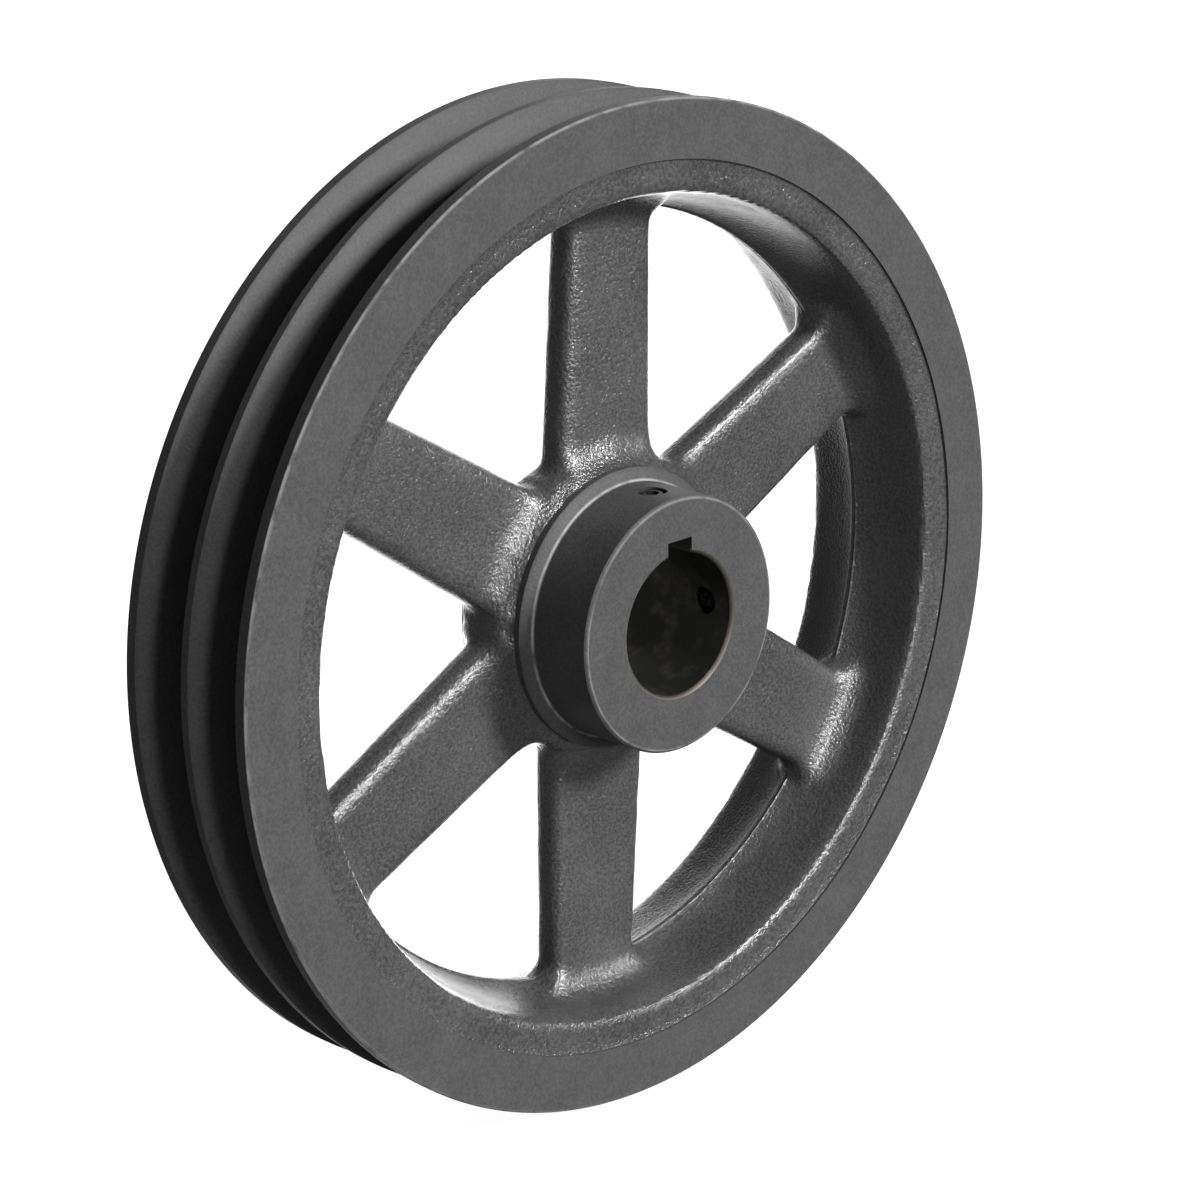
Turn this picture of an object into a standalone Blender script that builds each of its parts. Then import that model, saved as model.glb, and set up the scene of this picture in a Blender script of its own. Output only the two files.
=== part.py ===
"""Double-groove V-belt sheave: cast iron, six arms, keyed bore, two set screws.

The shaft axis is Y, with the long side of the hub towards -Y, and +Z is up.
The origin is the centre of the bore in the middle plane of the rim.
Turned shapes are profiles of (radius, height) about their own +Z, where the
height of a sheave profile is the distance towards the front of the sheave.
"""
import math

import bmesh
import bpy
from mathutils import Matrix

INCH = 0.0254

# Rim and belt grooves
OUTER_RADIUS = 9.75 * INCH / 2
FACE_WIDTH = 1.6875 * INCH
GROOVE_PITCH = 0.75 * INCH
GROOVE_TOP_WIDTH = 0.0162
GROOVE_DEPTH = 0.0145
GROOVE_HALF_ANGLE = math.radians(19)
RIM_EDGE_BREAK = 0.0003
RIB_EDGE_BREAK = 0.0006
STEP_RADIUS = 0.1095
STEP_DEPTH = 0.0010
RIM_BAND_RADIUS = 0.1045
RIM_WALL_RADIUS = 0.1016
RIM_WALL_CORNER = 0.0030
RIM_WALL_CORNER_START = 160
RIM_WALL_CORNER_STEPS = 3
RIM_REAR_RELIEF = 0.0015
PARTING_RADIUS = 0.0965
RIM_STEPS = 96

# Hub
HUB_RADIUS = 0.0315
HUB_FRONT = 0.0310
HUB_EDGE_BREAK = 0.00065
SHOULDER_HEIGHT = 0.0130
SHOULDER_RADIUS = 0.0347
SHOULDER_FILLET = 0.0008
CAST_HUB_RADIUS = 0.0364
HUB_REAR = 0.0086
HUB_REAR_RADIUS = 0.0340
HUB_REAR_CORNER = 0.0012
HUB_CORNER_STEPS = 2
HUB_STEPS = 64

# Bore and keyway
BORE_RADIUS = 1.375 * INCH / 2
BORE_CHAMFER = 0.0008
KEYWAY_WIDTH = 0.3125 * INCH
KEYWAY_ROOF = 0.0211

# Arms
ARM_COUNT = 6
ARM_PHASE = math.radians(-3.3)
ARM_MIDDLE = 0.065
ARM_FORWARD = 0.0007
ARM_HALF_WIDTH = 0.0146
ARM_TAPER = 0.039
ARM_SIDE_SLOPE = 0.0009
ARM_HALF_THICKNESS = 0.0046
ARM_CORNER = 0.0036
ARM_CORNER_STEPS = 3
ARM_INNER_END = 0.0240
ARM_OUTER_END = 0.1035
HUB_FILLET = 0.0035
RIM_FILLET = 0.0050
FRONT_FLARE = 0.0076
REAR_FLARE = 0.0044
FLARE_WALL = 0.0982
FILLET_STEPS = 3

# Set screws, 1/4-20 UNC, 3/8 in long
SCREW_MAJOR_RADIUS = 0.0031
SCREW_MINOR_RADIUS = 0.0025
SCREW_PITCH = INCH / 20
THREAD_CREST = 1 / 8
THREAD_ROOT = 9 / 16
SCREW_LENGTH = 0.375 * INCH
SCREW_END_CHAMFER = 0.0006
SCREW_POINT_RADIUS = 0.0018
SCREW_CUP_RADIUS = 0.0014
SCREW_CUP_DEPTH = 0.0008
SCREW_STEPS = 16
SOCKET_WIDTH = 0.125 * INCH
SOCKET_DEPTH = 0.0036
SCREW_HEIGHT = 0.0220
SCREW_HOLE_RADIUS = 0.0034
SCREW_HOLE_BREAK = 0.0004
HOLE_STEPS = 24
KEYWAY_SCREW_TIP = KEYWAY_ROOF + 0.0003
SIDE_SCREW_TIP = BORE_RADIUS + 0.0004

CUT_MARGIN = 0.0020
WELD = 0.00001
SHARP_EDGE = math.radians(35)

PARTS = "v_belt_sheave"
TOOLS = "v_belt_sheave_tools"
AXIS_TO_FRONT = Matrix.Rotation(math.pi / 2, 4, "X")


def clear_scene():
    for item in list(bpy.data.objects):
        bpy.data.objects.remove(item, do_unlink=True)
    for group in list(bpy.data.collections):
        bpy.data.collections.remove(group)


def make_collection(name):
    group = bpy.data.collections.new(name)
    bpy.context.scene.collection.children.link(group)
    return group


def make_material(name, colour, roughness, metallic):
    material = bpy.data.materials.new(name)
    material.use_nodes = True
    shader = material.node_tree.nodes["Principled BSDF"]
    shader.inputs["Base Color"].default_value = (*colour, 1.0)
    shader.inputs["Roughness"].default_value = roughness
    shader.inputs["Metallic"].default_value = metallic
    material.diffuse_color = (*colour, 1.0)
    return material


def painted_iron():
    return make_material("painted_iron", (0.105, 0.107, 0.110), 0.45, 0.0)


def black_steel():
    return make_material("black_steel", (0.160, 0.158, 0.155), 0.35, 0.9)


def add_object(name, mesh, collection):
    item = bpy.data.objects.new(name, mesh)
    bpy.data.collections[collection].objects.link(item)
    return item


def mesh_from(name, bm):
    mesh = bpy.data.meshes.new(name)
    bm.to_mesh(mesh)
    bm.free()
    return mesh


def hide_tool(item):
    item.hide_render = True
    item.display_type = "WIRE"
    return item


def turn(name, profile, steps, closed, collection):
    """Turn a profile of (radius, height) points about the object's own Z."""
    bm = bmesh.new()
    points = [bm.verts.new((radius, 0.0, height)) for radius, height in profile]
    ends = points[1:] + points[:1] if closed else points[1:]
    for start, end in zip(points, ends):
        bm.edges.new((start, end))
    item = add_object(name, mesh_from(name, bm), collection)
    screw = item.modifiers.new("turned", "SCREW")
    screw.axis = "Z"
    screw.angle = math.tau
    screw.steps = steps
    screw.render_steps = steps
    screw.use_merge_vertices = True
    screw.merge_threshold = WELD
    screw.use_smooth_shade = True
    return item


def boolean(item, tool, operation):
    step = item.modifiers.new(tool.name, "BOOLEAN")
    step.operation = operation
    step.solver = "EXACT"
    step.object = tool


def round_smooth(item):
    """Shade the finished shape smooth, with its sharp edges kept."""
    graph = bpy.context.evaluated_depsgraph_get()
    mesh = bpy.data.meshes.new_from_object(item.evaluated_get(graph))
    mesh.name = item.name
    item.modifiers.clear()
    item.data = mesh
    mesh.shade_smooth()
    mesh.set_sharp_from_angle(angle=SHARP_EDGE)


def arc(centre, radius, start, end, steps):
    """Points along an arc of a profile, angles in degrees from +radius to +height."""
    angles = [math.radians(start + (end - start) * i / steps) for i in range(steps + 1)]
    return [(centre[0] + radius * math.cos(a), centre[1] + radius * math.sin(a)) for a in angles]


def mirrored(points):
    """The same outline on the other side of the middle plane, in reverse order."""
    return [(radius, -height) for radius, height in reversed(points)]


def groove_points(middle):
    """One belt groove, from its front lip to its rear lip."""
    lip = GROOVE_TOP_WIDTH / 2
    floor = lip - GROOVE_DEPTH * math.tan(GROOVE_HALF_ANGLE)
    bottom = OUTER_RADIUS - GROOVE_DEPTH
    break_in = RIB_EDGE_BREAK * math.tan(GROOVE_HALF_ANGLE)
    return [
        (OUTER_RADIUS, middle + lip + RIB_EDGE_BREAK / 2),
        (OUTER_RADIUS - RIB_EDGE_BREAK, middle + lip - break_in),
        (bottom, middle + floor),
        (bottom, middle - floor),
        (OUTER_RADIUS - RIB_EDGE_BREAK, middle - lip + break_in),
        (OUTER_RADIUS, middle - lip - RIB_EDGE_BREAK / 2),
    ]


def rim_side(relief):
    """One side of the rim, from behind the parting line to the lip of its outer land."""
    face = FACE_WIDTH / 2
    band = face - STEP_DEPTH
    corner = (RIM_BAND_RADIUS + relief, band - RIM_WALL_CORNER)
    side = [(RIM_WALL_RADIUS + relief, corner[1])]
    side += arc(corner, RIM_WALL_CORNER, RIM_WALL_CORNER_START, 90, RIM_WALL_CORNER_STEPS)
    side += [(STEP_RADIUS, band), (STEP_RADIUS, face)]
    side += [(OUTER_RADIUS - RIM_EDGE_BREAK, face), (OUTER_RADIUS, face - RIM_EDGE_BREAK)]
    return side


def rim():
    """The rim ring: two grooves outside, a drafted wall and a cast band inside."""
    grooves = groove_points(GROOVE_PITCH / 2) + groove_points(-GROOVE_PITCH / 2)
    profile = [(PARTING_RADIUS, 0.0)] + rim_side(0.0) + grooves
    profile += mirrored(rim_side(RIM_REAR_RELIEF))
    return turn("sheave_casting", profile, RIM_STEPS, True, PARTS)


def hub():
    """The hub: machined long side in front, cast body and short rear side."""
    fillet = (HUB_RADIUS + SHOULDER_FILLET, SHOULDER_HEIGHT + SHOULDER_FILLET)
    rear_corner = (HUB_REAR_RADIUS - HUB_REAR_CORNER, -HUB_REAR + HUB_REAR_CORNER)
    profile = [
        (BORE_RADIUS, HUB_FRONT - BORE_CHAMFER),
        (BORE_RADIUS + BORE_CHAMFER, HUB_FRONT),
        (HUB_RADIUS - HUB_EDGE_BREAK, HUB_FRONT),
        (HUB_RADIUS, HUB_FRONT - HUB_EDGE_BREAK),
    ]
    profile += arc(fillet, SHOULDER_FILLET, 180, 270, HUB_CORNER_STEPS)
    profile += [(SHOULDER_RADIUS, SHOULDER_HEIGHT), (CAST_HUB_RADIUS, 0.0)]
    profile += arc(rear_corner, HUB_REAR_CORNER, 0, -90, HUB_CORNER_STEPS)
    profile += [
        (BORE_RADIUS + BORE_CHAMFER, -HUB_REAR),
        (BORE_RADIUS, -HUB_REAR + BORE_CHAMFER),
    ]
    return hide_tool(turn("hub_tool", profile, HUB_STEPS, True, TOOLS))


def flare(distance, radius):
    """How far a fillet of this radius stands out at a distance from its wall."""
    if distance >= radius:
        return 0.0
    reach = radius - max(distance, 0.0)
    return radius - math.sqrt(radius ** 2 - reach ** 2)


def arm_width(station):
    """Half width of an arm's straight, tapered stretch."""
    return ARM_HALF_WIDTH - ARM_TAPER * (station - ARM_MIDDLE)


def fillet_start(wall_radius, fillet):
    """Where an arm's side meets a fillet; a hollow wall's fillet is given as negative."""
    side = arm_width(wall_radius) + abs(fillet)
    return math.sqrt((wall_radius + fillet) ** 2 - side ** 2)


HUB_START = fillet_start(CAST_HUB_RADIUS, HUB_FILLET)
RIM_START = fillet_start(PARTING_RADIUS, -RIM_FILLET)
HUB_TOUCH = HUB_START * CAST_HUB_RADIUS / (CAST_HUB_RADIUS + HUB_FILLET)


def filleted_width(station):
    """Half width of an arm with the fillets of its sides into hub and rim."""
    inside = min(max(station, HUB_TOUCH), RIM_START + RIM_FILLET)
    at_hub = flare(inside - HUB_START + HUB_FILLET, HUB_FILLET)
    at_rim = flare(RIM_START + RIM_FILLET - inside, RIM_FILLET)
    return arm_width(inside) + at_hub + at_rim


def thickened(across, forward, station):
    """A point of the outline moved out where the arm's face flares into hub or rim."""
    radius = math.hypot(across, station)
    at_hub = flare(radius - CAST_HUB_RADIUS, FRONT_FLARE)
    if forward < 0:
        at_hub *= REAR_FLARE / FRONT_FLARE
    at_rim = flare(FLARE_WALL - radius, RIM_FILLET)
    return forward * (1 + (at_hub + at_rim) / ARM_HALF_THICKNESS)


def arm_outline(station):
    """The arm's outline at a station, counter-clockwise from its +X parting edge."""
    width = filleted_width(station)
    centre = (width - ARM_SIDE_SLOPE - ARM_CORNER, ARM_HALF_THICKNESS - ARM_CORNER)
    run = width - centre[0]
    side = math.atan2(-centre[1], run) + math.acos(ARM_CORNER / math.hypot(run, centre[1]))
    corner = arc(centre, ARM_CORNER, math.degrees(side), 90, ARM_CORNER_STEPS)
    upper = [(width, 0.0)] + corner + [(-x, y) for x, y in reversed(corner)] + [(-width, 0.0)]
    lower = [(x, -y) for x, y in reversed(upper[1:-1])]
    return [(x, thickened(x, y, station)) for x, y in upper + lower]


def arm_stations():
    """Distances from the shaft axis at which the arm's section is set."""
    turns = [math.radians(90 * i / FILLET_STEPS) for i in range(FILLET_STEPS + 1)]
    sides_in = [HUB_TOUCH + (HUB_START - HUB_TOUCH) * i / FILLET_STEPS for i in range(FILLET_STEPS)]
    faces_in = [HUB_START + (CAST_HUB_RADIUS + FRONT_FLARE - HUB_START) * math.sin(t) for t in turns]
    sides_out = [RIM_START + RIM_FILLET * math.sin(t) for t in turns]
    return [ARM_INNER_END] + sides_in + faces_in + sides_out + [ARM_OUTER_END]


def arm(index):
    """One arm, a drafted bar with rounded faces that flares into hub and rim."""
    stations = arm_stations()
    sides = len(arm_outline(ARM_MIDDLE))
    length = ARM_OUTER_END - ARM_INNER_END
    bm = bmesh.new()
    bmesh.ops.create_cone(bm, cap_ends=True, segments=sides, radius1=1, radius2=1, depth=length)
    bmesh.ops.translate(bm, verts=bm.verts, vec=(0, 0, ARM_INNER_END + length / 2))
    for station in stations[1:-1]:
        bmesh.ops.bisect_plane(bm, geom=bm.verts[:] + bm.edges[:] + bm.faces[:], dist=WELD,
                               plane_co=(0, 0, station), plane_no=(0, 0, 1))
    for vert in bm.verts:
        place = round(math.atan2(vert.co.y, vert.co.x) / math.tau * sides) % sides
        across, forward = arm_outline(vert.co.z)[place]
        vert.co.x = across
        vert.co.y = -forward - ARM_FORWARD
    bmesh.ops.reverse_faces(bm, faces=bm.faces)
    bmesh.ops.triangulate(bm, faces=bm.faces)
    item = add_object(f"arm_tool_{index + 1}", mesh_from("arm_tool", bm), TOOLS)
    item.rotation_euler = (0, -(math.tau * index / ARM_COUNT + ARM_PHASE), 0)
    return hide_tool(item)


def keyway():
    """The slot of the key, from inside the bore up to its roof, right through the hub."""
    bm = bmesh.new()
    bmesh.ops.create_cube(bm, size=1)
    length = HUB_FRONT + HUB_REAR + 2 * CUT_MARGIN
    height = KEYWAY_ROOF - BORE_RADIUS + 2 * CUT_MARGIN
    bmesh.ops.scale(bm, verts=bm.verts, vec=(KEYWAY_WIDTH, length, height))
    item = add_object("keyway_tool", mesh_from("keyway_tool", bm), TOOLS)
    item.location = (0, (HUB_REAR - HUB_FRONT) / 2, KEYWAY_ROOF - height / 2)
    return hide_tool(item)


def screw_hole(name, turned):
    """A tapped hole through the hub wall, with a broken edge at the hub's surface."""
    inner = BORE_RADIUS - CUT_MARGIN
    outer = HUB_RADIUS + CUT_MARGIN
    lip = SCREW_HOLE_RADIUS + SCREW_HOLE_BREAK
    profile = [
        (0.0, outer),
        (lip + CUT_MARGIN, outer),
        (SCREW_HOLE_RADIUS, HUB_RADIUS - SCREW_HOLE_BREAK),
        (SCREW_HOLE_RADIUS, inner),
        (0.0, inner),
    ]
    item = turn(name, profile, HOLE_STEPS, False, TOOLS)
    item.location = (0, -SCREW_HEIGHT, 0)
    item.rotation_euler = (0, turned, 0)
    return hide_tool(item)


def sheave_casting(material):
    body = rim()
    body.rotation_euler = AXIS_TO_FRONT.to_euler()
    core = hub()
    core.rotation_euler = AXIS_TO_FRONT.to_euler()
    boolean(body, core, "UNION")
    for index in range(ARM_COUNT):
        boolean(body, arm(index), "UNION")
    boolean(body, keyway(), "DIFFERENCE")
    boolean(body, screw_hole("keyway_hole_tool", 0), "DIFFERENCE")
    boolean(body, screw_hole("side_hole_tool", math.pi / 2), "DIFFERENCE")
    body.data.materials.append(material)
    bpy.context.view_layer.update()
    round_smooth(body)


def screw_socket(name, location, turned):
    """The hexagon of a socket, cut down from the head end of its screw."""
    bm = bmesh.new()
    depth = SOCKET_DEPTH + CUT_MARGIN
    corner = SOCKET_WIDTH / 2 / math.cos(math.pi / 6)
    bmesh.ops.create_cone(bm, cap_ends=True, segments=6, radius1=corner, radius2=corner, depth=depth)
    lift = SCREW_LENGTH - SOCKET_DEPTH + depth / 2
    bmesh.ops.translate(bm, verts=bm.verts, vec=(0, 0, lift))
    item = add_object(name, mesh_from(name, bm), TOOLS)
    item.location = location
    item.rotation_euler = (0, turned, 0)
    return hide_tool(item)


def screw_profile():
    """From the middle of the head end, down over the thread's crests, to the cup point."""
    profile = [(0.0, SCREW_LENGTH), (SCREW_MINOR_RADIUS, SCREW_LENGTH)]
    crest = SCREW_LENGTH - SCREW_END_CHAMFER
    while crest > SCREW_PITCH:
        profile.append((SCREW_MAJOR_RADIUS, crest))
        profile.append((SCREW_MAJOR_RADIUS, crest - SCREW_PITCH * THREAD_CREST))
        profile.append((SCREW_MINOR_RADIUS, crest - SCREW_PITCH * THREAD_ROOT))
        crest -= SCREW_PITCH
    profile += [(SCREW_POINT_RADIUS, 0.0), (SCREW_CUP_RADIUS, 0.0), (0.0, SCREW_CUP_DEPTH)]
    return profile


def set_screw(name, location, turned, material):
    """A socket set screw with a cup point; its origin is the point's middle, on its axis."""
    item = turn(name, screw_profile(), SCREW_STEPS, False, PARTS)
    item.location = location
    item.rotation_euler = (0, turned, 0)
    boolean(item, screw_socket(name + "_socket_tool", location, turned), "DIFFERENCE")
    item.data.materials.append(material)
    bpy.context.view_layer.update()
    round_smooth(item)


def main():
    clear_scene()
    make_collection(PARTS)
    make_collection(TOOLS)
    iron = painted_iron()
    steel = black_steel()
    sheave_casting(iron)
    set_screw("keyway_set_screw", (0, -SCREW_HEIGHT, KEYWAY_SCREW_TIP), 0, steel)
    set_screw("side_set_screw", (SIDE_SCREW_TIP, -SCREW_HEIGHT, 0), math.pi / 2, steel)


main()
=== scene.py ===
"""Looks of a double-groove V-belt sheave: an iron casting, turned, bored and painted.

The casting is made as in a foundry and a machine shop. Rim, hub and arms are joined
as rough stock and softened to a cast skin, and the stock is then turned, bored,
keyed and drilled, so that machined edges are crisp and cast ones are round.
The shaft axis is Y with the long side of the hub towards -Y. Metres throughout.
"""
import math

import bmesh
import bpy
from mathutils import Matrix, Vector


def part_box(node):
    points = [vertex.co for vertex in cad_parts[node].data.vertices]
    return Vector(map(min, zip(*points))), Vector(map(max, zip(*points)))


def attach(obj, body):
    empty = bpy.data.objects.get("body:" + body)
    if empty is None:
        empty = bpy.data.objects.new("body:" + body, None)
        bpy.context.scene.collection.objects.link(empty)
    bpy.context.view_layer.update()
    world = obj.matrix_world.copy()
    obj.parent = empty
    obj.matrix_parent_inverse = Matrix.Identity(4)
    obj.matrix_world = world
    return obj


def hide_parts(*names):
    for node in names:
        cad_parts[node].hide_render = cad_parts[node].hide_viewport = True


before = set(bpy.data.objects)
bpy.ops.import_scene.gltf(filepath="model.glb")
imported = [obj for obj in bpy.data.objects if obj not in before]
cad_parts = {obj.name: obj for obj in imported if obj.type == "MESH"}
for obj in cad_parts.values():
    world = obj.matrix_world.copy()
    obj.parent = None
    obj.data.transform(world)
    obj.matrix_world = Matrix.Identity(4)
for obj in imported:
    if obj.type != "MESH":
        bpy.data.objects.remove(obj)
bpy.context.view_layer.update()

INCH = 0.0254
MM = 0.001

# Sizes that the frame gives
LOW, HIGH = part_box("sheave_casting")
OUTER_RADIUS = HIGH.x
FACE = HIGH.y
HUB_FRONT = -LOW.y

# Rim and belt grooves
GROOVE_MIDDLE = 0.75 * INCH / 2
GROOVE_HALF_TOP = 8.1 * MM
GROOVE_DEPTH = 14.5 * MM
GROOVE_SLOPE = math.tan(math.radians(19))
EDGE_BREAK = 0.5 * MM
# Width of the light lines along turned edges: rubbed paint and painted highlight
RUB_AND_HIGHLIGHT_WIDTH = 0.6 * MM
RIB_BREAK = 0.6 * MM
STEP_RADIUS = 109.5 * MM
STEP_DEPTH = 1.0 * MM
BAND_RADIUS = 101.7 * MM
BAND_RISE = 0.6 * MM
WALL_SLOPES = (
    (98.3 * MM, 3.2 * MM),
    (99.7 * MM, 7.5 * MM),
    (100.5 * MM, 12.5 * MM),
    (101.0 * MM, 17.6 * MM),
)
REAR_RELIEF = 1.5 * MM
PARTING_RADIUS = 96.2 * MM
FLASH_HEIGHT = 0.3 * MM
FLASH_WIDTH = 1.2 * MM
FLASH_ROOT = 2.0 * MM
FLASH_INSET = FLASH_HEIGHT / 3
FLASH_DIP = FLASH_HEIGHT / 2
STOCK_ALLOWANCE = 2.0 * MM
LAND_DEPTH = 2.6 * MM

# Hub, bore and keyway
HUB_RADIUS = 31.5 * MM
HUB_BREAK = 0.65 * MM
SHOULDER_HEIGHT = 13.0 * MM
SHOULDER_RADIUS = 34.7 * MM
SHOULDER_FILLET = 0.8 * MM
SHOULDER_DEPTH = 5.0 * MM
SHOULDER_CONE = 0.8 * MM
CAST_SHOULDER_RADIUS = 34.4 * MM
CAST_SHOULDER_HEIGHT = 11.0 * MM
CAST_HUB_RADIUS = 35.2 * MM
HUB_REAR = 8.6 * MM
HUB_REAR_RADIUS = 34.3 * MM
BORE_RADIUS = 1.375 * INCH / 2
BORE_CHAMFER = 0.8 * MM
KEYWAY_WIDTH = 0.3125 * INCH
KEYWAY_ROOF = 21.1 * MM

# Arms
ARM_COUNT = 6
ARM_PHASE = math.radians(-3.3)
ARM_HALF_WIDTH = 14.75 * MM
ARM_MIDDLE = 65 * MM
ARM_TAPER = 0.039
ARM_DRAFT = 0.9 * MM
ARM_HALF_THICKNESS = 4.75 * MM
ARM_CORNER = 4.2 * MM
ARM_CORNER_STEPS = 3
ARM_FORWARD = 0.7 * MM
ARM_START = 24 * MM
ARM_END = 103 * MM
ARM_BEND = ARM_START / 2
HUB_FILLET = 3.5 * MM
RIM_FILLET = 5.0 * MM
FRONT_FLARE = 11.0 * MM
FRONT_FLARE_START = 2.6 * MM
REAR_FLARE = 3.0 * MM
RIM_FLARE = 8.0 * MM
RIM_FLARE_START = 1.0 * MM
FLARE_WALL = 99.6 * MM

# Set screws
SCREW_HEIGHT = 22 * MM
SCREW_HOLE_RADIUS = 3.4 * MM
SCREW_HOLE_BREAK = 0.4 * MM

# Making
RIM_TURNS = 288
HUB_TURNS = 144
HOLE_TURNS = 48
FILLET_STEPS = 4
VOXEL = 1.15 * MM
SOFTENING = 4
SOFTENING_SHARE = 0.5
SAND_SIZE = 12 * MM
SAND_HEIGHT = 0.3 * MM
FLARE_STATIONS = 7
WELD = 0.001 * MM
CUT_MARGIN = 2 * MM
SHARP_EDGE = math.radians(28)

# Paint on cast skin
CAST_DARK = (0.038, 0.038, 0.039)
CAST_LIGHT = (0.090, 0.090, 0.091)
GRAIN_SIZE = 0.8 * MM
# How much darker the grain's low places are painted, as painted shade in its hollows
GRAIN_HOLLOW_SHADE = 0.7
LUMP_SIZE = 3.2 * MM
LUMP_HEIGHT = 0.3
PARTING_WIDTH = 0.6 * MM
PARTING_HEIGHT = 0.2
STAIN_SIZE = 22 * MM
STAIN_SHADE = 0.3
CAST_BUMP = 0.34 * MM
GLOSS_SIZE = 9 * MM
GLOSS_BASE = 0.14
GLOSS_SPREAD = 0.12

# Paint on turned iron
TURNED_DARK = (0.046, 0.046, 0.047)
TURNED_LIGHT = (0.077, 0.077, 0.078)
SPECKLE_SIZE = 0.7 * MM
SPECKLE_SHADE = 0.65
CLOUD_SIZE = 11 * MM
CLOUD_SHADE = 0.35
TURNED_BUMP = 0.10 * MM
MATT_BASE = 0.56
MATT_SPREAD = 0.12
# Light lines along turned edges: painted highlight alone in the shoulder's fillet, rubbed paint and
# painted highlight on the hub's and rim's front edges
RUB_AND_HIGHLIGHT_COLOUR = (0.34, 0.34, 0.34)
RUB_AND_HIGHLIGHT_PATCHES = 5 * MM
ROOT_HIGHLIGHT_INSET = SHOULDER_FILLET * 0.3
ROOT_HIGHLIGHT = 1.0
HUB_EDGE_RUB_AND_HIGHLIGHT = 0.45
RIM_EDGE_RUB_AND_HIGHLIGHT = 0.6

# Bare iron in the bore
BORED_DARK = (0.055, 0.055, 0.052)
BORED_LIGHT = (0.15, 0.14, 0.12)
RUST_COLOUR = (0.085, 0.048, 0.020)
CHAMFER_COLOUR = (0.30, 0.27, 0.22)
BORED_CLOUD_SIZE = 7 * MM
RUST_SIZE = 4 * MM
RUST_SHARE = 0.4
CHAMFER_FADE = (1.1 * BORE_CHAMFER, 0.8 * BORE_CHAMFER)
BORED_BUMP = 0.02 * MM
BORED_ROUGH = 0.28
BORED_SPREAD = 0.15
BORED_METAL = 0.7

# Steel of the set screws
OXIDE_COLOUR = (0.022, 0.022, 0.024)
STEEL_COLOUR = (0.24, 0.23, 0.22)
WEAR_SIZE = 1.5 * MM
WEAR_SHARE = 0.7
WEAR_POLISH = 0.16
FINE_SIZE = 0.25 * MM
FINE_SPREAD = 0.06
STEEL_BUMP = 0.01 * MM
STEEL_ROUGH = 0.46
STEEL_METAL = 0.9

# Where a noise turns from its dark side to its light one
EVEN_SPLIT = (0.35, 0.65)
WIDE_SPLIT = (0.3, 0.7)
RUB_AND_HIGHLIGHT_SPLIT = (0.25, 0.6)
BARE_SPLIT = (0.48, 0.75)
RUST_SPLIT = (0.6, 0.75)
WEAR_SPLIT = (0.55, 0.75)


# ---------------------------------------------------------------- modelling helpers

def take(item):
    """Makes this the only object that operators act on."""
    bpy.ops.object.select_all(action="DESELECT")
    item.select_set(True)
    bpy.context.view_layer.objects.active = item


def edit(item):
    take(item)
    bpy.ops.object.mode_set(mode="EDIT")
    bpy.ops.mesh.select_all(action="SELECT")


def done():
    bpy.ops.object.mode_set(mode="OBJECT")


def pick(item, wanted):
    """In edit mode, selects the corners whose place passes the test."""
    mesh = bmesh.from_edit_mesh(item.data)
    for face in mesh.faces:
        face.select = False
    for edge in mesh.edges:
        edge.select = False
    for corner in mesh.verts:
        corner.select = wanted(corner.co)
    mesh.select_flush(True)
    bmesh.update_edit_mesh(item.data)


def named(name):
    """Names the object that was just added, and puts its place into its mesh."""
    item = bpy.context.object
    item.name = name
    item.data.name = name
    take(item)
    bpy.ops.object.transform_apply(location=True, rotation=True, scale=True)
    return item


def arc(centre, radius, start, end, steps):
    """Points along an arc of an outline, in degrees from outward to forward."""
    turns = [math.radians(start + (end - start) * i / steps) for i in range(steps + 1)]
    return [(centre[0] + radius * math.cos(t), centre[1] + radius * math.sin(t)) for t in turns]


def mirrored(outline):
    return [(radius, -forward) for radius, forward in reversed(outline)]


def lathe(name, outline, steps):
    """Spins an outline of (radius, forward) points about the shaft axis.

    An outline that starts and ends on the axis is solid. Any other is a ring, and
    is closed here by its own first point.
    """
    ring = outline[0][0] > 0
    bpy.ops.mesh.primitive_plane_add(size=MM)
    item = named(name)
    edit(item)
    bpy.ops.mesh.merge(type="CENTER")
    bpy.ops.transform.translate(value=(outline[0][0], -outline[0][1], 0))
    for here, there in zip(outline, outline[1:] + outline[:1] if ring else outline[1:]):
        step = (there[0] - here[0], here[1] - there[1], 0)
        bpy.ops.mesh.extrude_vertices_move(TRANSFORM_OT_translate={"value": step})
    bpy.ops.mesh.select_all(action="SELECT")
    bpy.ops.mesh.remove_doubles(threshold=WELD)
    bpy.ops.mesh.spin(steps=steps, angle=math.tau, center=(0, 0, 0), axis=(0, 1, 0))
    bpy.ops.mesh.select_all(action="SELECT")
    bpy.ops.mesh.remove_doubles(threshold=WELD)
    bpy.ops.mesh.normals_make_consistent(inside=False)
    done()
    return item


def turned_about_shaft(item, angle):
    """Turns the mesh clockwise, as the front of the sheave is seen."""
    item.data.transform(Matrix.Rotation(angle, 4, "Y"))
    return item


def cut(item, tool, operation="DIFFERENCE"):
    """One machining step: the tool's shape is taken away, and its faces are left behind."""
    take(item)
    step = item.modifiers.new(tool.name, "BOOLEAN")
    step.operation = operation
    step.solver = "MANIFOLD"
    step.object = tool
    bpy.ops.object.modifier_apply(modifier=step.name)
    bpy.data.objects.remove(tool)


def finish_of(item, index):
    """Gives every face of a tool the finish that it leaves behind."""
    for material in FINISHES:
        item.data.materials.append(material)
    for face in item.data.polygons:
        face.material_index = index


# ---------------------------------------------------------------- shaders

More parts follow.
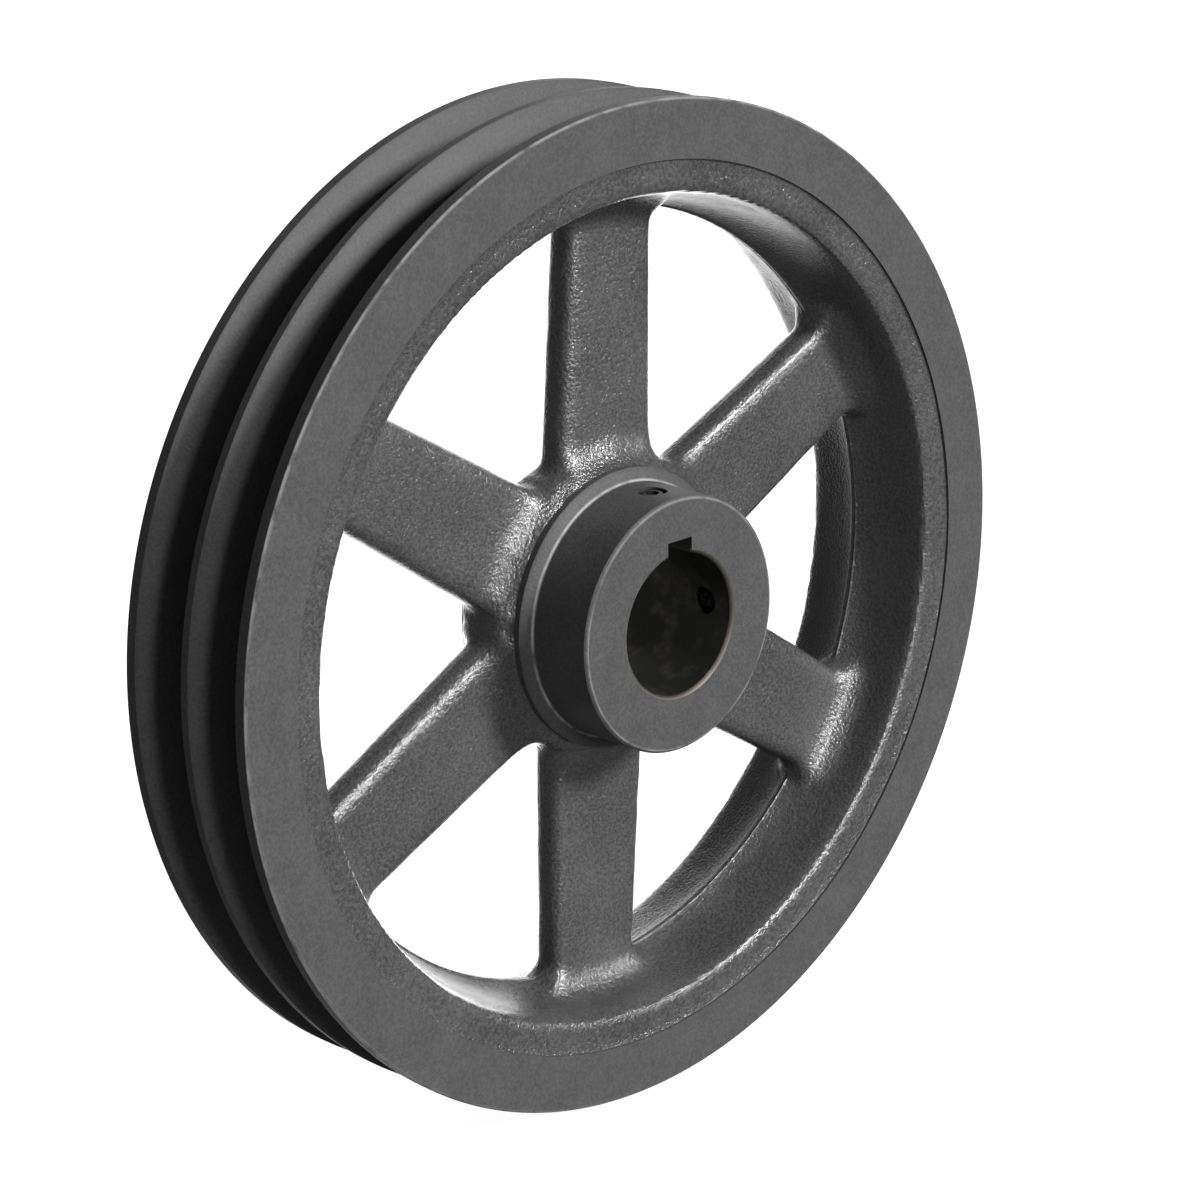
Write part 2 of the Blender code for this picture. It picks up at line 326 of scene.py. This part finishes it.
class Wire:
    """One socket's value, on which sums are written as Python."""

    def __init__(self, recipe, socket):
        self.recipe = recipe
        self.socket = socket

    def sum(self, operation, *values):
        return self.recipe.node("Math", {"operation": operation}, *values)

    def __add__(self, other):
        return self.sum("ADD", self, other)

    def __sub__(self, other):
        return self.sum("SUBTRACT", self, other)

    def __rsub__(self, other):
        return self.sum("SUBTRACT", other, self)

    def __mul__(self, other):
        return self.sum("MULTIPLY", self, other)

    __radd__ = __add__
    __rmul__ = __mul__


class Recipe:
    """The nodes of one material or world, with one way to add any node."""

    def __init__(self, owner):
        owner.use_nodes = True
        self.owner = owner
        self.tree = owner.node_tree

    def node(self, kind, settings, *values, out=0, **sockets):
        """Adds a node. Its values go to sockets in order, or by name or number."""
        node = self.tree.nodes.new("ShaderNode" + kind)
        for name, value in settings.items():
            setattr(node, name, value)
        for key, value in enumerate(values):
            self.feed(node.inputs[key], value)
        for name, value in sockets.items():
            key = int(name[1:]) if name[0] == "_" else name.replace("_", " ")
            self.feed(node.inputs[key], value)
        return Wire(self, node.outputs[out])

    def feed(self, socket, value):
        if isinstance(value, Wire):
            self.tree.links.new(value.socket, socket)
        else:
            socket.default_value = (*value, 1) if socket.type == "RGBA" else value

    def place(self, out="Object"):
        return self.node("TexCoord", {}, out=out)

    def noise(self, place, size, detail=2.0, roughness=0.5):
        """Clouds of about this size in metres, from 0 to 1."""
        return self.node(
            "TexNoise", {}, Vector=place, Scale=1 / size, Detail=detail, Roughness=roughness)

    def band(self, value, low, high):
        """0 below low and 1 above high, with a soft slope between."""
        settings = {"interpolation_type": "SMOOTHSTEP"}
        return self.node("MapRange", settings, Value=value, From_Min=low, From_Max=high)

    def distance(self, value, middle):
        return self.node("Math", {"operation": "ABSOLUTE"}, value - middle)

    def near(self, value, middle, reach):
        """1 at the middle, falling to 0 at the reach to either side."""
        return 1 - self.band(self.distance(value, middle), 0.0, reach)

    def mixed(self, share, first, second):
        """A colour between two."""
        return self.node("Mix", {"data_type": "RGBA"}, out=2, _0=share, _6=first, _7=second)

    def parts(self, place):
        """Distance from the shaft axis, and the place along it."""
        x, y, z = (self.node("SeparateXYZ", {}, Vector=place, out=axis) for axis in "XYZ")
        return self.node("Math", {"operation": "SQRT"}, x * x + z * z), y

    def finish(self, colour, roughness, height=None, depth=0.0, **constants):
        shader = self.tree.nodes["Principled BSDF"]
        self.feed(shader.inputs["Base Color"], colour)
        self.feed(shader.inputs["Roughness"], roughness)
        for name, value in constants.items():
            self.feed(shader.inputs[name.replace("_", " ")], value)
        if height is not None:
            normal = self.node("Bump", {}, Height=height, Distance=depth, Strength=1.0)
            self.feed(shader.inputs["Normal"], normal)
        return self.owner


def cast_paint():
    """Glossy dark grey paint over sand-cast iron: a fine grain, painted shade in its hollows, a parting
    line.
    """
    recipe = Recipe(bpy.data.materials.new("cast_paint"))
    place = recipe.place()
    along = recipe.parts(place)[1]
    lumps = recipe.noise(place, LUMP_SIZE, detail=2)
    grain = recipe.noise(place, GRAIN_SIZE, detail=3, roughness=0.6)
    line = recipe.near(along + ARM_FORWARD, 0.0, PARTING_WIDTH)
    height = grain + lumps * LUMP_HEIGHT + line * PARTING_HEIGHT
    stain = recipe.noise(place, STAIN_SIZE, detail=4)
    # Stains vary the paint's tone; the grain's low places, which the bump also sinks, are painted darker
    # as painted shade
    shade = recipe.band(stain, *EVEN_SPLIT) * STAIN_SHADE + recipe.band(grain, *EVEN_SPLIT) * GRAIN_HOLLOW_SHADE
    colour = recipe.mixed(shade, CAST_DARK, CAST_LIGHT)
    roughness = GLOSS_BASE + recipe.noise(place, GLOSS_SIZE) * GLOSS_SPREAD
    return recipe.finish(colour, roughness, height, CAST_BUMP, Specular_IOR_Level=1.0,
                         Coat_Weight=0.12, Coat_Roughness=0.08)


def machined_paint():
    """Matt dark grey paint over turned iron, speckled, and lighter along its edges: rubbed, and painted
    highlight.
    """
    recipe = Recipe(bpy.data.materials.new("machined_paint"))
    place = recipe.place()
    radius, along = recipe.parts(place)
    speckle = recipe.noise(place, SPECKLE_SIZE, detail=3)
    cloud = recipe.noise(place, CLOUD_SIZE, detail=5, roughness=0.6)
    shade = recipe.band(cloud, *WIDE_SPLIT) * CLOUD_SHADE
    shade = shade + recipe.band(speckle, *EVEN_SPLIT) * SPECKLE_SHADE
    colour = recipe.mixed(shade, TURNED_DARK, TURNED_LIGHT)
    roughness = MATT_BASE + speckle * MATT_SPREAD
    # Painted highlight along the shoulder's fillet, and rubbed paint with painted highlight along the
    # hub's and rim's front edges
    rubbed_and_highlit = 0
    for rim, front, share in (
        (HUB_RADIUS + ROOT_HIGHLIGHT_INSET, SHOULDER_HEIGHT + ROOT_HIGHLIGHT_INSET, ROOT_HIGHLIGHT),
        (HUB_RADIUS - HUB_BREAK, HUB_FRONT, HUB_EDGE_RUB_AND_HIGHLIGHT),
        (OUTER_RADIUS - EDGE_BREAK / 2, FACE - EDGE_BREAK / 2, RIM_EDGE_RUB_AND_HIGHLIGHT),
    ):
        edge = recipe.near(radius, rim, RUB_AND_HIGHLIGHT_WIDTH) * recipe.near(along, -front, RUB_AND_HIGHLIGHT_WIDTH)
        rubbed_and_highlit = edge * share + rubbed_and_highlit
    wear = recipe.noise(place, RUB_AND_HIGHLIGHT_PATCHES, detail=4)
    rubbed_and_highlit = rubbed_and_highlit * recipe.band(wear, *RUB_AND_HIGHLIGHT_SPLIT)
    colour = recipe.mixed(rubbed_and_highlit, colour, RUB_AND_HIGHLIGHT_COLOUR)
    return recipe.finish(colour, roughness, speckle, TURNED_BUMP, Specular_IOR_Level=0.4)


def bored_iron():
    """Bare bored iron, dark, with brown storage stains and light chamfers."""
    recipe = Recipe(bpy.data.materials.new("bored_iron"))
    place = recipe.place()
    radius, along = recipe.parts(place)
    cloud = recipe.noise(place, BORED_CLOUD_SIZE, detail=5, roughness=0.6)
    rust = recipe.noise(place, RUST_SIZE, detail=4)
    bare = recipe.mixed(recipe.band(cloud, *BARE_SPLIT), BORED_DARK, BORED_LIGHT)
    stained = recipe.mixed(recipe.band(rust, *RUST_SPLIT) * RUST_SHARE, bare, RUST_COLOUR)
    middle = (HUB_REAR - HUB_FRONT) / 2
    half = (HUB_REAR + HUB_FRONT) / 2
    from_middle = recipe.distance(along, middle)
    chamfer = recipe.near(radius, BORE_RADIUS + BORE_CHAMFER, BORE_CHAMFER)
    chamfer = chamfer * recipe.band(from_middle, *(half - inset for inset in CHAMFER_FADE))
    colour = recipe.mixed(chamfer, stained, CHAMFER_COLOUR)
    roughness = BORED_ROUGH + cloud * BORED_SPREAD
    return recipe.finish(colour, roughness, cloud, BORED_BUMP, Metallic=BORED_METAL)


def screw_steel():
    """Black-oxide steel, worn to bare metal in small patches."""
    recipe = Recipe(bpy.data.materials.new("screw_steel"))
    place = recipe.place()
    wear = recipe.noise(place, WEAR_SIZE, detail=4, roughness=0.65)
    fine = recipe.noise(place, FINE_SIZE, detail=2)
    share = recipe.band(wear, *WEAR_SPLIT) * WEAR_SHARE
    colour = recipe.mixed(share, OXIDE_COLOUR, STEEL_COLOUR)
    roughness = STEEL_ROUGH - share * WEAR_POLISH + fine * FINE_SPREAD
    return recipe.finish(colour, roughness, fine, STEEL_BUMP, Metallic=STEEL_METAL)


CAST, MACHINED, BORED = range(3)
FINISHES = [cast_paint(), machined_paint(), bored_iron()]


# ---------------------------------------------------------------- the casting

def rim_stock():
    """The rim as it leaves the mould, with an allowance where it will be turned."""
    band = FACE - STEP_DEPTH
    outer = OUTER_RADIUS + STOCK_ALLOWANCE
    side = [*WALL_SLOPES, (BAND_RADIUS, band), (STEP_RADIUS - 2 * BAND_RISE, band)]
    rear = [(radius + REAR_RELIEF, forward) for radius, forward in side]
    land = [(STEP_RADIUS + BAND_RISE, band + BAND_RISE), (outer, band + BAND_RISE)]
    outline = [(PARTING_RADIUS, 0)] + side + land + mirrored(rear[:-1] + land)
    return lathe("rim_stock", outline, RIM_TURNS)


def hub_stock():
    """The cast part of the hub, solid, with an allowance in front and behind."""
    front = CAST_SHOULDER_HEIGHT
    rear = -HUB_REAR - STOCK_ALLOWANCE
    return lathe("hub_stock", [
        (0, front),
        (CAST_SHOULDER_RADIUS, front),
        (CAST_HUB_RADIUS, 0),
        (HUB_REAR_RADIUS, rear),
        (0, rear),
    ], HUB_TURNS)


def flash():
    """The low ridge, dipped along its middle, that the mould's parting line leaves in the rim."""
    root = PARTING_RADIUS + FLASH_ROOT
    half = FLASH_WIDTH / 2
    tip = PARTING_RADIUS + FLASH_INSET
    return lathe("flash", [
        (root, FLASH_WIDTH),
        (tip, half),
        (tip + FLASH_DIP, 0),
        (tip, -half),
        (root, -FLASH_WIDTH),
    ], RIM_TURNS)


def flare(distance, radius):
    """How far a fillet of this radius stands out at a distance from its wall."""
    reach = radius - min(max(distance, 0.0), radius)
    return radius - math.sqrt(radius ** 2 - reach ** 2)


def arm_sizes(station):
    """Half width, front and rear half thickness of an arm at a distance from the axis."""
    width = ARM_HALF_WIDTH - ARM_TAPER * (station - ARM_MIDDLE)
    width += flare(station - CAST_HUB_RADIUS, HUB_FILLET) + flare(PARTING_RADIUS - station, RIM_FILLET)
    at_rim = flare(max(FLARE_WALL - station, 0) + RIM_FLARE_START, RIM_FLARE)
    from_hub = max(station - CAST_HUB_RADIUS, 0) + FRONT_FLARE_START
    front = ARM_HALF_THICKNESS + flare(from_hub, FRONT_FLARE) + at_rim
    rear = ARM_HALF_THICKNESS + flare(station - CAST_HUB_RADIUS, REAR_FLARE) + at_rim
    return width, front, rear


def arm_stations():
    """Close together through the flares at both ends, and far apart between."""
    ease = [1 - math.cos(math.pi / 2 * i / FLARE_STATIONS) for i in range(FLARE_STATIONS + 1)]
    inner = [CAST_HUB_RADIUS + (FRONT_FLARE - FRONT_FLARE_START) * share for share in ease]
    outer = [FLARE_WALL - (RIM_FLARE - RIM_FLARE_START) * share for share in reversed(ease)]
    return inner + outer + [ARM_END]


def arm_pattern():
    """One arm at the top of the sheave: a bar with drafted sides, extruded outwards.

    Its stations end up on circles about the shaft instead of straight across the arm.
    """
    width, front, rear = arm_sizes(ARM_START)
    bpy.ops.mesh.primitive_plane_add(size=2, location=(0, -ARM_FORWARD, ARM_START))
    bpy.ops.transform.resize(value=(width, (front + rear) / 2, 1))
    item = named("arm_pattern")
    edit(item)
    bpy.ops.mesh.subdivide(number_cuts=1)
    pick(item, lambda place: abs(place.y + ARM_FORWARD) > WELD)
    bpy.ops.transform.resize(value=((width - ARM_DRAFT) / width, 1, 1), center_override=(0, 0, 0))
    pick(item, lambda place: abs(place.x) > WELD and abs(place.y + ARM_FORWARD) > WELD)
    bpy.ops.mesh.bevel(offset=ARM_CORNER, segments=ARM_CORNER_STEPS, affect="VERTICES")
    middle = -ARM_FORWARD - (front - rear) / 2
    bpy.ops.mesh.select_all(action="SELECT")
    bpy.ops.transform.translate(value=(0, middle + ARM_FORWARD, 0))
    here = ARM_START
    for station in arm_stations():
        across, ahead, behind = arm_sizes(station)
        centre = -ARM_FORWARD - (ahead - behind) / 2
        bpy.ops.mesh.extrude_region_move(
            TRANSFORM_OT_translate={"value": (0, centre - middle, station - here)})
        scale = (across / width, (ahead + behind) / (front + rear), 1)
        bpy.ops.transform.resize(value=scale, center_override=(0, centre, station))
        width, front, rear, middle, here = across, ahead, behind, centre, station
    bpy.ops.mesh.select_all(action="SELECT")
    bpy.ops.mesh.normals_make_consistent(inside=False)
    done()
    for corner in item.data.vertices:
        corner.co.z = math.sqrt(corner.co.z ** 2 - min(abs(corner.co.x), ARM_BEND) ** 2)
    return item


def copy_of(item, name):
    twin = item.copy()
    twin.data = item.data.copy()
    twin.name = name
    bpy.context.scene.collection.objects.link(twin)
    return twin


def cast_skin(item):
    """Joins the stock into one skin, rounds its corners and leaves it a little uneven."""
    take(item)
    skin = item.modifiers.new("skin", "REMESH")
    skin.mode = "VOXEL"
    skin.voxel_size = VOXEL
    soft = item.modifiers.new("soft", "SMOOTH")
    soft.factor = SOFTENING_SHARE
    soft.iterations = SOFTENING
    sand = bpy.data.textures.new("sand", "CLOUDS")
    sand.noise_scale = SAND_SIZE
    sand.noise_depth = 1
    uneven = item.modifiers.new("uneven", "DISPLACE")
    uneven.texture = sand
    uneven.texture_coords = "LOCAL"
    uneven.strength = SAND_HEIGHT
    uneven.mid_level = 0.5
    for step in ("skin", "soft", "uneven"):
        bpy.ops.object.modifier_apply(modifier=step)


def raw_casting():
    """Rim, hub and arms in one piece, as the mould leaves them."""
    body = rim_stock()
    pieces = [body, hub_stock()]
    pattern = arm_pattern()
    for index in range(ARM_COUNT):
        arm = copy_of(pattern, f"arm_{index + 1}")
        pieces.append(turned_about_shaft(arm, -ARM_PHASE - math.tau * index / ARM_COUNT))
    bpy.data.objects.remove(pattern)
    take(body)
    for piece in pieces:
        piece.select_set(True)
    bpy.ops.object.join()
    cast_skin(body)
    finish_of(body, CAST)
    return body


# ---------------------------------------------------------------- machining

def groove(middle):
    """One belt groove, from its front lip to its rear lip."""
    floor = GROOVE_HALF_TOP - GROOVE_DEPTH * GROOVE_SLOPE
    bottom = OUTER_RADIUS - GROOVE_DEPTH
    lip = GROOVE_HALF_TOP - RIB_BREAK * GROOVE_SLOPE
    front = [(OUTER_RADIUS, GROOVE_HALF_TOP + RIB_BREAK / 2), (OUTER_RADIUS - RIB_BREAK, lip)]
    front += [(bottom + RIB_BREAK, floor + RIB_BREAK * GROOVE_SLOPE), (bottom, floor - RIB_BREAK)]
    return [(radius, middle + forward) for radius, forward in front + mirrored(front)]


def turned_hub():
    """The long side of the hub with its chamfer, fillet and shoulder."""
    fillet = (HUB_RADIUS + SHOULDER_FILLET, SHOULDER_HEIGHT + SHOULDER_FILLET)
    outline = [(0, HUB_FRONT), (HUB_RADIUS - HUB_BREAK, HUB_FRONT)]
    outline += [(HUB_RADIUS, HUB_FRONT - HUB_BREAK)]
    outline += arc(fillet, SHOULDER_FILLET, 180, 270, FILLET_STEPS)
    edge = SHOULDER_HEIGHT - SHOULDER_CONE
    outline += [(SHOULDER_RADIUS - EDGE_BREAK, edge), (SHOULDER_RADIUS, edge - EDGE_BREAK)]
    buried = SHOULDER_HEIGHT - SHOULDER_DEPTH
    outline += [(SHOULDER_RADIUS, buried), (0, buried)]
    return lathe("turned_hub", outline, HUB_TURNS)


def turned_land(name, side):
    """The flat face of the rim, which stands a step above the cast band."""
    outer = OUTER_RADIUS + CUT_MARGIN
    buried = FACE - LAND_DEPTH
    corners = [(STEP_RADIUS, buried), (STEP_RADIUS, FACE), (outer, FACE), (outer, buried)]
    return lathe(name, [(radius, side * forward) for radius, forward in corners], RIM_TURNS)


def turning():
    """What the lathe leaves of the outside: belt grooves, rim edges and the hub's rear face."""
    clear = HUB_FRONT + CUT_MARGIN
    ahead = FACE + CUT_MARGIN
    inside = STEP_RADIUS - STEP_DEPTH
    beyond = CAST_HUB_RADIUS + FRONT_FLARE / 2
    broken = OUTER_RADIUS - EDGE_BREAK
    edge = [(inside, clear), (inside, ahead), (broken - CUT_MARGIN, ahead), (broken, FACE)]
    edge += [(OUTER_RADIUS, FACE - EDGE_BREAK)]
    outline = [(0, clear)] + edge + groove(GROOVE_MIDDLE) + groove(-GROOVE_MIDDLE) + mirrored(edge)
    outline += [(beyond, -clear), (beyond, -HUB_REAR), (0, -HUB_REAR)]
    return lathe("turning", outline, RIM_TURNS)


def bore():
    """The boring bar's cut, with a chamfer at both ends of the hub."""
    chamfer = BORE_CHAMFER + CUT_MARGIN
    return lathe("bore", [
        (0, HUB_FRONT + CUT_MARGIN),
        (BORE_RADIUS + chamfer, HUB_FRONT + CUT_MARGIN),
        (BORE_RADIUS, HUB_FRONT - BORE_CHAMFER),
        (BORE_RADIUS, -HUB_REAR + BORE_CHAMFER),
        (BORE_RADIUS + chamfer, -HUB_REAR - CUT_MARGIN),
        (0, -HUB_REAR - CUT_MARGIN),
    ], HUB_TURNS)


def keyway():
    """The broach's slot, from inside the bore to the key's roof."""
    length = HUB_FRONT + HUB_REAR + 2 * CUT_MARGIN
    height = KEYWAY_ROOF - BORE_RADIUS + 2 * CUT_MARGIN
    middle = (0, (HUB_REAR - HUB_FRONT) / 2, KEYWAY_ROOF - height / 2)
    bpy.ops.mesh.primitive_cube_add(size=1, location=middle, scale=(KEYWAY_WIDTH, length, height))
    return named("keyway")


def screw_hole(name, turn):
    """The tapping drill's hole through the hub's wall, with a broken edge."""
    lip = SCREW_HOLE_BREAK + CUT_MARGIN
    outline = [(0, HUB_RADIUS + CUT_MARGIN), (SCREW_HOLE_RADIUS + lip, HUB_RADIUS + CUT_MARGIN)]
    outline += [(SCREW_HOLE_RADIUS, HUB_RADIUS - SCREW_HOLE_BREAK)]
    outline += [(SCREW_HOLE_RADIUS, BORE_RADIUS - CUT_MARGIN), (0, BORE_RADIUS - CUT_MARGIN)]
    item = lathe(name, outline, HOLE_TURNS)
    item.data.transform(Matrix.Rotation(-math.pi / 2, 4, "X"))
    item.data.transform(Matrix.Translation((0, -SCREW_HEIGHT, 0)))
    return turned_about_shaft(item, turn)


def sheave():
    body = raw_casting()
    for tool, operation, mark in (
        (flash(), "UNION", CAST),
        (turned_land("front_land", 1), "UNION", MACHINED),
        (turned_land("rear_land", -1), "UNION", MACHINED),
        (turning(), "INTERSECT", MACHINED),
        (turned_hub(), "UNION", MACHINED),
        (bore(), "DIFFERENCE", BORED),
        (keyway(), "DIFFERENCE", BORED),
        (screw_hole("keyway_hole", 0), "DIFFERENCE", BORED),
        (screw_hole("side_hole", math.pi / 2), "DIFFERENCE", BORED),
    ):
        finish_of(tool, mark)
        cut(body, tool, operation)
    body.name = "sheave"
    take(body)
    bpy.ops.object.shade_smooth_by_angle(angle=SHARP_EDGE)
    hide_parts("sheave_casting")
    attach(body, "sheave")
    return body


# ---------------------------------------------------------------- camera, floor and light

VIEW_AZIMUTH = math.radians(-44.227)
VIEW_ELEVATION = math.radians(16.956)
VIEW_DISTANCE = 0.81598
VIEW_SIDESTEP = 0.002347
VIEW_DROP = 0.000530
VIEW_LENS = 100.37
VIEW_SENSOR = 36
SHEAVE_ROLL = math.radians(1.65)
KEY = ("key", (0.42, -1.25, 0.72), math.radians(13), 4.5)
FILL = ("fill", (-0.2, -0.95, 0.25), math.radians(12), 1.1)
ROOM_GLOW = 0.12
BACKDROP_GLOW = 4.2
BACKDROP_TOWARDS = (0.67, 0.69, -0.27)
BACKDROP_EDGE = 0.70
BACKDROP_CORE = 0.98
WHITE_SEEN = 0.98
FLOOR_GLOW = 0.92
FLOOR_SIZE = 30
FLOOR_GREY = (0.5, 0.5, 0.5)
FLOOR_ROUGH = 0.9
WHITE = (1, 1, 1)


def camera():
    """Looks at the front and left of the sheave, from a little above."""
    data = bpy.data.cameras.new("camera")
    data.lens = VIEW_LENS
    data.sensor_width = VIEW_SENSOR
    item = bpy.data.objects.new("camera", data)
    bpy.context.scene.collection.objects.link(item)
    turn = Matrix.Rotation(VIEW_AZIMUTH, 4, "Z") @ Matrix.Rotation(math.pi / 2 - VIEW_ELEVATION, 4, "X")
    back = Matrix.Translation((VIEW_SIDESTEP, -VIEW_DROP, VIEW_DISTANCE))
    item.matrix_world = Matrix.Rotation(SHEAVE_ROLL, 4, "Y") @ turn @ back
    bpy.context.scene.camera = item


def floor():
    """A pale floor that the sheave stands on. It throws no light back up."""
    bpy.ops.mesh.primitive_plane_add(size=FLOOR_SIZE, location=(0, 0, -OUTER_RADIUS))
    item = named("floor")
    recipe = Recipe(bpy.data.materials.new("pale_floor"))
    recipe.finish(FLOOR_GREY, FLOOR_ROUGH, Emission_Color=WHITE, Emission_Strength=FLOOR_GLOW)
    item.data.materials.append(recipe.owner)
    item.visible_diffuse = False
    item.visible_glossy = False


def soft_light(name, place, angle, strength):
    """A large soft light a long way off in this direction."""
    light = bpy.data.lights.new(name, "SUN")
    light.angle = angle
    light.energy = strength
    item = bpy.data.objects.new(name, light)
    bpy.context.scene.collection.objects.link(item)
    item.rotation_euler = Vector(place).to_track_quat("Z", "Y").to_euler()


def studio():
    """Seen as white all round. It lights and mirrors as a dim room with a bright backdrop."""
    world = bpy.data.worlds.new("studio")
    bpy.context.scene.world = world
    recipe = Recipe(world)
    towards = recipe.node("VectorMath", {"operation": "DOT_PRODUCT"},
                          recipe.place("Generated"), BACKDROP_TOWARDS, out="Value")
    backdrop = recipe.band(towards, BACKDROP_EDGE, BACKDROP_CORE)
    lit = ROOM_GLOW + backdrop * (BACKDROP_GLOW - ROOM_GLOW)
    seen = recipe.node("LightPath", {}, out="Is Camera Ray")
    background = recipe.tree.nodes["Background"]
    recipe.feed(background.inputs["Color"], WHITE)
    recipe.feed(background.inputs["Strength"], seen * WHITE_SEEN + (1 - seen) * lit)
    soft_light(*KEY)
    soft_light(*FILL)
    bpy.context.scene.view_settings.view_transform = "Standard"


def screws():
    """The two set screws keep their worked-out shape, and are only given their steel."""
    steel = screw_steel()
    for name in ("keyway_set_screw", "side_set_screw"):
        for slot in bpy.data.objects[name].material_slots:
            slot.material = steel


camera()
sheave()
screws()
floor()
studio()
